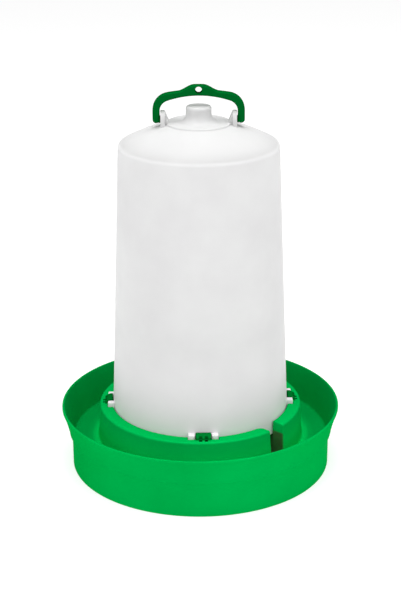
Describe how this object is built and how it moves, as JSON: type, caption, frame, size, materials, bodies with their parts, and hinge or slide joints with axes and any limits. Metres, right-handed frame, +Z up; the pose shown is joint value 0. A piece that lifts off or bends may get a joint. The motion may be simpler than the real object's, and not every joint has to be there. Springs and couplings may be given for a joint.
{
  "type": "poultry waterer fount",
  "caption": "Free-standing poultry drinker: a white bell tank with a swinging carry handle stands in a flared green trough base and feeds its ring trough through a slot.",
  "frame": {"origin": "on the ground under the middle of the base", "axes": "+Z up along the tank's axis, -Y towards the front, where one catch faces, +X to the right, along the handle's pins"},
  "size_m": [0.316, 0.316, 0.4384],
  "materials": {
    "base_green": "moulded, semi-gloss",
    "tank_white": "moulded, natural white, slightly translucent",
    "handle_green": "moulded, semi-gloss"
  },
  "bodies": {
    "base": {"base": "base_green"},
    "tank": {"tank": "tank_white"},
    "handle": {"handle": "handle_green"}
  },
  "joints": [
    {"name": "tank_lift", "type": "slide", "parent": "base", "child": "tank", "axis": [0, 0, 1], "range_m": [0, 0.1]},
    {"name": "handle_swing", "type": "hinge", "parent": "tank", "child": "handle", "pos_m": [0, 0, 0.4011], "axis": [1, 0, 0], "range_deg": [-85, 85]}
  ]
}
